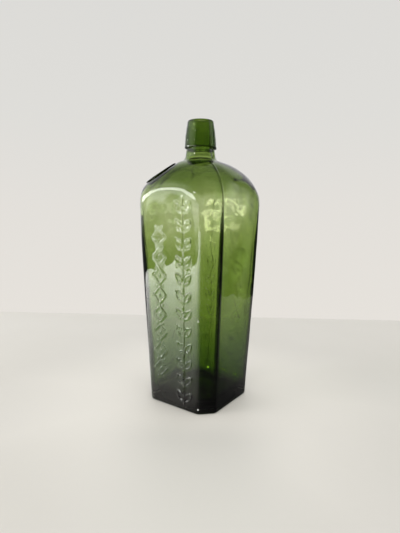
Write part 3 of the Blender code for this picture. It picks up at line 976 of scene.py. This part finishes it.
def seam_shade(tree, coordinates, height):
    """How dark the painted shade along the front mould seam is: a thin line over the dome, and a broad black
    one down the edge.
    """
    x, y = math.cos(SEAM_AZIMUTHS[0]), math.sin(SEAM_AZIMUTHS[0])
    aside = reckon(tree, "ABSOLUTE", along(tree, coordinates, (-y, x, 0.0)))
    front = reckon(tree, "GREATER_THAN", along(tree, coordinates, (x, y, 0.0)), 0.0)
    high = share_between(tree, height, *SEAM_THINNING_HEIGHTS)
    half_width = inverse(tree, product(tree, high, 1.0 - SEAM_THIN_SHARE))
    reach = reckon(tree, "DIVIDE", aside, product(tree, half_width, SEAM_SHADE_HALF_WIDTH))
    line = inverse(tree, share_between(tree, reach, *SEAM_SHADE_EDGE))
    below_shade_rings = share_between(tree, height, *SEAM_SHADE_END)
    return product(tree, line, front, below_shade_rings, inverse(tree, product(tree, high, SEAM_TOP_PALENESS)))


def neck_shade(tree, tint, height):
    """Painted shade as a darker belt round the dome, a heavier colour up the neck, and rings of painted shade
    between the two.
    """
    shade_belt = band(tree, height, *DOME_SHADE_BELT, DOME_SHADE_BELT_SOFTNESS)
    tint = tinted(tree, tint, DOME_SHADE_BELT_TINT, shade_belt)
    tint = tinted(tree, tint, NECK_TINT, share_between(tree, height, *NECK_TINT_RISE))
    # Rings of painted shade round the neck's foot
    for place in NECK_SHADE_RINGS:
        low, high = place - NECK_SHADE_RING_HALF_WIDTH, place + NECK_SHADE_RING_HALF_WIDTH
        tint = blend(tree, band(tree, height, low, high, NECK_SHADE_RING_SOFTNESS), tint, NECK_SHADE_RING_COLOUR)
    return tint


def speck_highlight(tree, coordinates):
    """How white and cloudy the specks are: painted highlights, which also make the glass there less clear."""
    shade = 0.0
    for azimuth, z, whiteness in SPECKS:
        inputs = {0: coordinates, 1: speck_middle(azimuth, z)}
        away = node(tree, "VectorMath", inputs, operation="DISTANCE").outputs["Value"]
        near = share_between(tree, away, *(SPECK_RADIUS * share for share in SPECK_EDGE_SHARES))
        shade = reckon(tree, "MAXIMUM", shade, product(tree, near, whiteness))
    return shade


def old_glass(name, streak_scale, pebble_scale, pebble_depth, heavier=None, foot=None, sheen=1.0):
    """Green glass: faint streaks of colour, scuffs, a slightly pebbled skin, and colour by depth.

    Without a heavier colour it's the body's, which deepens by height and carries the painted shade along the
    front seam and round the dome and neck, and the specks' painted highlights. With a foot height, a band of
    painted shade runs along the foot.
    """
    material, tree = new_material(name)
    tree.nodes.clear()
    coordinates = node(tree, "TexCoord").outputs["Object"]
    height = along(tree, coordinates, (0.0, 0.0, 1.0))
    streaks = noise(tree, coordinates, streak_scale, STREAK_DETAIL, STREAK_STRETCH)
    tint = ramp(tree, streaks, STREAKS)
    clearness = 1.0
    if heavier is None:
        tint = neck_shade(tree, tinted(tree, tint, depth_tint(tree, height)), height)
        # Painted shade along the front mould seam
        tint = blend(tree, seam_shade(tree, coordinates, height), tint, SEAM_SHADE_COLOUR)
        # Painted highlights: the raised specks are white and not clear
        painted_glint = speck_highlight(tree, coordinates)
        tint = blend(tree, painted_glint, tint, SPECK_HIGHLIGHT_COLOUR)
        clearness = inverse(tree, painted_glint)
    else:
        tint = tinted(tree, tint, (*heavier, 1.0))
    # Painted shade: a dark band along the foot of a piece laid on
    if foot is not None:
        tint = blend(tree, share_between(tree, height, foot + LIP_FOOT_SHADE_DEPTH, foot), tint, LIP_FOOT_SHADE_COLOUR)
    scuffs = noise(tree, coordinates, *SCUFFS)
    roughness = ramp(tree, scuffs, list(zip(SCUFF_RANGE, (grey(0.0), grey(SCUFF_ROUGHNESS)))))
    shader = node(tree, "BsdfPrincipled", {
        "Base Color": tint,
        "Transmission Weight": clearness,
        "IOR": GLASS_IOR,
        "Specular Tint": grey(sheen),
        "Roughness": roughness,
        "Normal": bumps(tree, coordinates, pebble_scale, 1.0, pebble_depth),
    })
    shadow = node(tree, "BsdfTransparent", {"Color": GLASS_SHADOW})
    in_shadow = node(tree, "LightPath").outputs["Is Shadow Ray"]
    both = node(tree, "MixShader", {0: in_shadow, 1: shader.outputs["BSDF"], 2: shadow.outputs["BSDF"]})
    depth = node(tree, "VolumeAbsorption", {"Color": (*GLASS_COLOUR, 1.0), "Density": GLASS_DENSITY})
    node(tree, "OutputMaterial", {"Surface": both.outputs["Shader"], "Volume": depth.outputs["Volume"]})
    return material


def mirrored(tree):
    """1 for what reflections show, and 0 for what is seen straight or through glass, or lights the room."""
    path = node(tree, "LightPath")
    bounced = reckon(tree, "GREATER_THAN", path.outputs["Glossy Depth"], 0.5)
    return product(tree, bounced, reckon(tree, "LESS_THAN", path.outputs["Diffuse Depth"], 0.5))


def table_top():
    """Pale table with painted light and shade: a painted shadow under the bottle's foot, painted light round
    it, painted shade in front of it, and where the glass mirrors it, painted shade to the right and far off
    and a painted glow near the window.
    """
    material, tree = new_material("table_top")
    coordinates = node(tree, "TexCoord").outputs["Object"]
    colour = ramp(tree, noise(tree, coordinates, *TABLE_MOTTLE), TABLE_COLOURS)
    x = reckon(tree, "ABSOLUTE", along(tree, coordinates, (1.0, 0.0, 0.0)))
    y = reckon(tree, "ABSOLUTE", along(tree, coordinates, (0.0, 1.0, 0.0)))
    corner = product(tree, reckon(tree, "ADD", x, y), math.sqrt(0.5))
    corner = reckon(tree, "SUBTRACT", corner, corner_reach(0.0) - panel_reach(0.0))
    reach = reckon(tree, "MAXIMUM", reckon(tree, "MAXIMUM", x, y), corner)
    # Painted light: the table is brighter round the bottle
    colour = blend(tree, share_between(tree, reach, *LIT_TABLE_REACH), colour, LIT_TABLE_COLOUR)
    left = along(tree, coordinates, camera_way(-1.0, 0.0))
    ahead = along(tree, coordinates, camera_way(0.0, 1.0))
    # Painted shade in front of the bottle, for its shadow and its reflection on the table
    in_front = share_between(tree, reckon(tree, "ABSOLUTE", left), *FRONT_SHADE_ASIDE)
    in_front = product(tree, in_front, share_between(tree, ahead, *FRONT_SHADE_AHEAD))
    colour = blend(tree, in_front, colour, FRONT_SHADE_COLOUR)
    # Painted shadow: the table is nearly black under the bottle's foot
    colour = blend(tree, share_between(tree, reach, *FOOT_SHADE_REACH), grey(FOOT_SHADE_BRIGHTNESS), colour)
    in_mirror = mirrored(tree)
    # Painted shade in reflections: where the glass mirrors the table, its right side and far part are darker
    behind = share_between(tree, ahead, *MIRRORED_BACK_AHEAD)
    dimmed = blend(tree, behind, REFLECTED_TABLE_SHADE_COLOUR, REFLECTED_BACK_SHADE_COLOUR)
    dim = share_between(tree, left, *MIRRORED_TABLE_LEFT)
    dim = reckon(tree, "MAXIMUM", dim, share_between(tree, ahead, *MIRRORED_TABLE_AHEAD))
    colour = blend(tree, product(tree, dim, in_mirror), colour, dimmed)
    shader = tree.nodes["Principled BSDF"]
    feed(tree, shader, {
        "Base Color": colour,
        "Roughness": TABLE_ROUGHNESS,
        "Normal": bumps(tree, coordinates, *TABLE_GRAIN),
    })
    # Painted glow: where the glass mirrors the table near the window, the table glows with the window's
    # reflection
    near_window = share_between(tree, left, PAINTED_GLOW_START, -TABLE_LEFT, False)
    near_window = product(tree, near_window, share_between(tree, ahead, *PAINTED_GLOW_AHEAD))
    crossings = node(tree, "LightPath").outputs["Transmission Depth"]
    crossed = reckon(tree, "GREATER_THAN", crossings, 0.5)
    kept = inverse(tree, product(tree, crossed, 1.0 - PAINTED_GLOW_INNER_SHARE))
    strength = product(tree, near_window, PAINTED_GLOW_STRENGTH, in_mirror, kept)
    painted_glow = node(tree, "Emission", {"Color": (*WINDOW_COLOUR, 1.0), "Strength": strength})
    both = node(tree, "AddShader", {0: shader.outputs["BSDF"], 1: painted_glow.outputs["Emission"]})
    feed(tree, tree.nodes["Material Output"], {"Surface": both.outputs["Shader"]})
    return material


# Stage

def camera_way(x, y, z=0.0):
    """A place given in the camera's own directions, turned into the bottle's."""
    return Matrix.Rotation(CAMERA_AZIMUTH, 3, "Z") @ Vector((x, y, z))


def add_camera():
    data = bpy.data.cameras.new("camera")
    data.sensor_width = SENSOR_SIZE_MM
    data.lens = FOCAL_LENGTH_PX / IMAGE_HEIGHT_PX * SENSOR_SIZE_MM
    data.clip_start = CAMERA_CLIP_START
    camera = add_object("camera", data)
    bpy.context.scene.camera = camera
    level = math.cos(CAMERA_PITCH)
    ahead = Vector((math.sin(CAMERA_PAN) * level, math.cos(CAMERA_PAN) * level, -math.sin(CAMERA_PITCH)))
    right = Vector((math.cos(CAMERA_PAN), -math.sin(CAMERA_PAN), 0.0))
    up = right.cross(ahead)
    tilted_right = right * math.cos(CAMERA_ROLL) + up * math.sin(CAMERA_ROLL)
    tilted_up = up * math.cos(CAMERA_ROLL) - right * math.sin(CAMERA_ROLL)
    turn = Matrix.Rotation(CAMERA_AZIMUTH, 3, "Z") @ Matrix((tilted_right, tilted_up, -ahead)).transposed()
    place = camera_way(0.0, -CAMERA_DISTANCE, CAMERA_HEIGHT)
    camera.matrix_world = Matrix.Translation(place) @ turn.to_4x4()


def add_table():
    corners = [(TABLE_LEFT, TABLE_FRONT), (TABLE_RIGHT, TABLE_FRONT)]
    corners += [(TABLE_RIGHT, TABLE_BACK_RIGHT), (TABLE_LEFT, TABLE_BACK_LEFT)]
    points = [camera_way(x, y, z) for z in (-TABLE_THICKNESS, 0.0) for x, y in corners]
    faces = [(3, 2, 1, 0), (4, 5, 6, 7)]
    faces += [(side, (side + 1) % 4, (side + 1) % 4 + 4, side + 4) for side in range(4)]
    data = bpy.data.meshes.new("table")
    data.from_pydata(points, [], faces)
    data.materials.append(table_top())
    table = add_object("table", data)


def add_window():
    """A soft window light to the left of the camera's view, which itself isn't seen."""
    data = bpy.data.lights.new("window", "AREA")
    data.shape = "RECTANGLE"
    data.size = WINDOW_WIDTH
    data.size_y = WINDOW_HEIGHT
    data.energy = WINDOW_POWER_W
    data.color = WINDOW_LIGHT_COLOUR
    light = add_object("window", data)
    place = camera_way(*WINDOW_PLACE)
    turn = (place - Vector(WINDOW_TARGET)).to_track_quat("Z", "Y").to_matrix()
    light.matrix_world = Matrix.Translation(place) @ turn.to_4x4()
    light.visible_camera = light.visible_glossy = light.visible_transmission = False


def mirrored_room(tree, turn, elevation, crossings):
    """What the glass mirrors: a dim room in front, a pale wall behind, and a window over the table's left."""
    stops = [((angle + 180.0) / 360.0, grey(brightness)) for angle, brightness in ROOM]
    room = ramp(tree, share_between(tree, turn, -math.pi, math.pi, False), stops)
    room = blend(tree, share_between(tree, elevation, *HIGH_ROOM_RISE), room, grey(HIGH_ROOM_BRIGHTNESS))
    room = tinted(tree, room, grey(LOW_ROOM_SHARE), share_between(tree, elevation, *LOW_ROOM_FALL))
    for strength, colour, turns, turn_softness, elevations, elevation_softness, shown in PATCHES:
        patch = product(
            tree,
            band(tree, turn, *np.radians(turns), math.radians(turn_softness)),
            band(tree, elevation, *np.radians(elevations), math.radians(elevation_softness)),
        )
        if shown is not None:
            patch = product(tree, patch, band(tree, crossings, *shown, CROSSING_SOFTNESS))
        room = blend(tree, patch, room, (*(strength * part for part in colour), 1.0))
    return room


def add_world():
    """Even light, a pale wall for what is seen straight or through glass, and the room for reflections."""
    world = bpy.data.worlds.new("room")
    bpy.context.scene.world = world
    world.use_nodes = True
    tree = world.node_tree
    tree.nodes.clear()
    way = node(tree, "TexCoord").outputs["Generated"]
    right = along(tree, way, camera_way(1.0, 0.0))
    ahead = along(tree, way, camera_way(0.0, 1.0))
    up = along(tree, way, (0.0, 0.0, 1.0))
    turn = reckon(tree, "ARCTAN2", right, ahead)
    elevation = reckon(tree, "ARCSINE", up)
    wall = ramp(tree, share_between(tree, up, *WALL_SINES, False), WALL_COLOURS)
    through = blend(tree, share_between(tree, ahead, *NEAR_SIDE_AHEAD), wall, grey(NEAR_SIDE_BRIGHTNESS))
    through = blend(tree, share_between(tree, elevation, *CEILING_FADE), through, grey(CEILING_BRIGHTNESS))
    path = node(tree, "LightPath").outputs
    room = mirrored_room(tree, turn, elevation, path["Transmission Depth"])
    result = blend(tree, path["Is Transmission Ray"], grey(AMBIENT), through)
    result = blend(tree, mirrored(tree), result, room)
    result = blend(tree, path["Is Camera Ray"], result, wall)
    background = node(tree, "Background", {"Color": result})
    node(tree, "OutputWorld", {"Surface": background.outputs["Background"]})


add_camera()
add_table()
add_window()
add_world()
bottle_body(old_glass("old_green_glass", *BODY_SURFACE))
lip_collar(old_glass("lip_glass", *LIP_SURFACE, LIP_TINT, COLLAR_FOOT_HEIGHT, LIP_SHEEN))
shoulder_seal(old_glass("seal_glass", *SEAL_SURFACE, SEAL_TINT, None, SEAL_SHEEN))

bpy.context.scene.view_settings.view_transform = "Standard"
